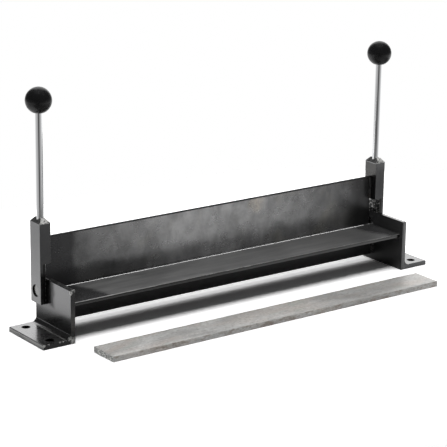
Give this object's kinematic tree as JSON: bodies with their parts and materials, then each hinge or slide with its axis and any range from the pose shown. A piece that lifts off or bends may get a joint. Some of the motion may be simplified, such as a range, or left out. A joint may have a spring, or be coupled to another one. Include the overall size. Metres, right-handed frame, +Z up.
{
  "type": "sheet metal bending brake",
  "caption": "Bench-top sheet metal bending brake: angle-iron bed on bolt-down feet, hinged leaf with ball-ended levers, and a loose clamping bar.",
  "frame": {"origin": "on the bench, in the middle of the four bolt holes, level with the underside of the feet", "axes": "+X along the bed to the operator's right, +Y away from the operator towards the leaf, +Z up"},
  "size_m": [0.539, 0.1463, 0.269],
  "materials": {
    "black_steel": "semi-gloss blackened steel, worn bright on its corners",
    "rolled_steel": "dark mill scale, cloudy, semi-gloss",
    "weld_bead": "rippled bead, blackened",
    "pin_steel": "turned steel, dulled",
    "bare_steel": "bare rolled steel, mottled, saw-cut ends",
    "chrome": "bright chrome plate",
    "black_plastic": "moulded black plastic, satin gloss",
    "insert_brass": "turned brass"
  },
  "bodies": {
    "stand": {"bed": "black_steel", "left_bracket": "black_steel", "right_bracket": "black_steel", "left_bed_weld": "weld_bead", "right_bed_weld": "weld_bead", "left_leg_weld": "weld_bead", "right_leg_weld": "weld_bead", "left_pivot_pin": "pin_steel", "right_pivot_pin": "pin_steel"},
    "leaf": {"bending_leaf": "rolled_steel", "left_leaf_weld": "weld_bead", "right_leaf_weld": "weld_bead", "left_lever_block": "black_steel", "right_lever_block": "black_steel", "left_handle_rod": "chrome", "right_handle_rod": "chrome", "left_knob_insert": "insert_brass", "right_knob_insert": "insert_brass", "left_knob": "black_plastic", "right_knob": "black_plastic"},
    "loose_bar": {"clamping_bar": "bare_steel"}
  },
  "joints": [
    {"name": "leaf_fold", "type": "hinge", "parent": "stand", "child": "leaf", "pos_m": [0, 0.0248, 0.0448], "axis": [-1, 0, 0], "range_deg": [0, 90]},
    {"name": "bar_turnover", "type": "hinge", "parent": "stand", "child": "loose_bar", "pos_m": [0, -0.042, 0.02575], "axis": [-1, 0, 0], "range_deg": [0, 180]}
  ]
}
